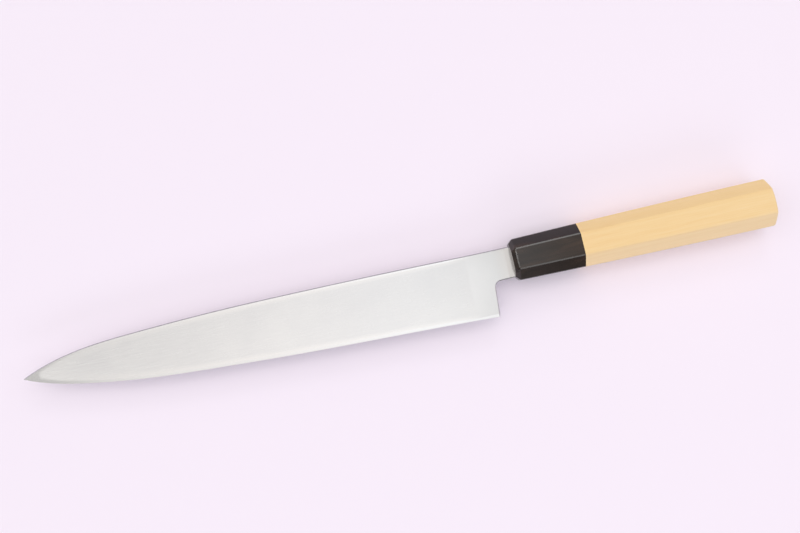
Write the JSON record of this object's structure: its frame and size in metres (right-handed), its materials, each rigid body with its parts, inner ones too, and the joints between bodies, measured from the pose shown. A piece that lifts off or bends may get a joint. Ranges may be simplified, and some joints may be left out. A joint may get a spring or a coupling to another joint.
{
  "type": "yanagiba knife",
  "caption": "Long slicing knife with a single-bevel blade, hollow-ground back, dark horn ferrule and octagonal pale wood handle.",
  "frame": {"origin": "middle of the knife's length and height, at the lowest point of the handle, with the knife lying on its bevelled side", "axes": "+X along the handle towards the butt (the tip points to -X), +Y towards the spine, +Z out of the hollow-ground back"},
  "size_m": [0.3846, 0.038, 0.02],
  "materials": {
    "hard_steel": "satin, ground and stoned along the blade",
    "soft_steel": "satin flat, hazy stone finish on the bevel",
    "dark_horn": "polished buffalo horn, near black with brown marbling",
    "pale_wood": "fine sanded, unvarnished, straight grain along the handle"
  },
  "bodies": {
    "root": {"blade_edge_steel": "hard_steel", "blade_soft_steel": "soft_steel", "horn_ferrule": "dark_horn", "wooden_handle": "pale_wood"}
  },
  "joints": []
}
